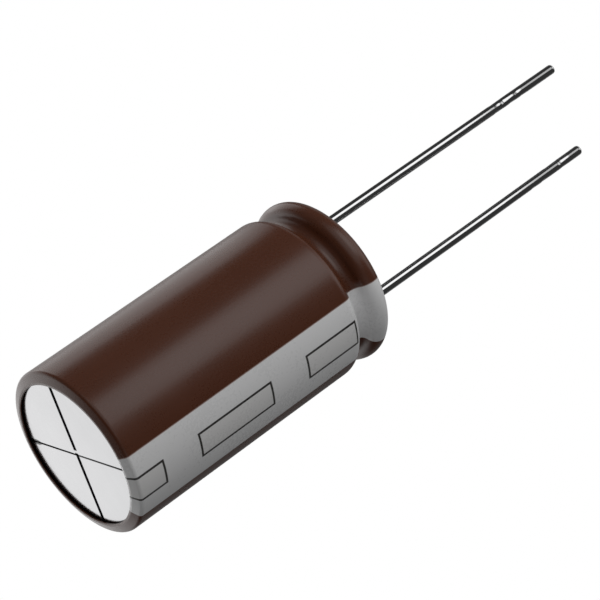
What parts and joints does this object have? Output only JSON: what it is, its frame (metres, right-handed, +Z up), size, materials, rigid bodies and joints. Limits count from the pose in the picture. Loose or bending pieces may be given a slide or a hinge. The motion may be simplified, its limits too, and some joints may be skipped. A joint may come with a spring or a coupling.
{
  "type": "electrolytic capacitor",
  "caption": "Radial aluminium electrolytic capacitor: sleeved round can with a scored pressure vent, rubber end seal and straight tinned leads.",
  "frame": {"origin": "centre of the ring of sleeve that the part stands on, at its closed, vented end", "axes": "+Z up the can's axis towards the leads; +X from the axis to the negative lead"},
  "size_m": [0.0104, 0.0104, 0.0414],
  "materials": {
    "sleeve_plastic": "semi-gloss shrunk film, dark brown with a grey stripe",
    "can_aluminium": "satin drawn aluminium",
    "seal_rubber": "matt moulded rubber",
    "lead_tin": "bright tinned wire",
    "tab_aluminium": "forged aluminium",
    "roll_foil": "paper and etched foil, soaked",
    "tape_film": "film tape"
  },
  "bodies": {
    "root": {"sleeve": "sleeve_plastic", "can": "can_aluminium", "end_seal": "seal_rubber", "positive_lead": "lead_tin", "negative_lead": "lead_tin", "positive_tab": "tab_aluminium", "negative_tab": "tab_aluminium", "wound_element": "roll_foil", "element_tape": "tape_film"}
  },
  "joints": []
}
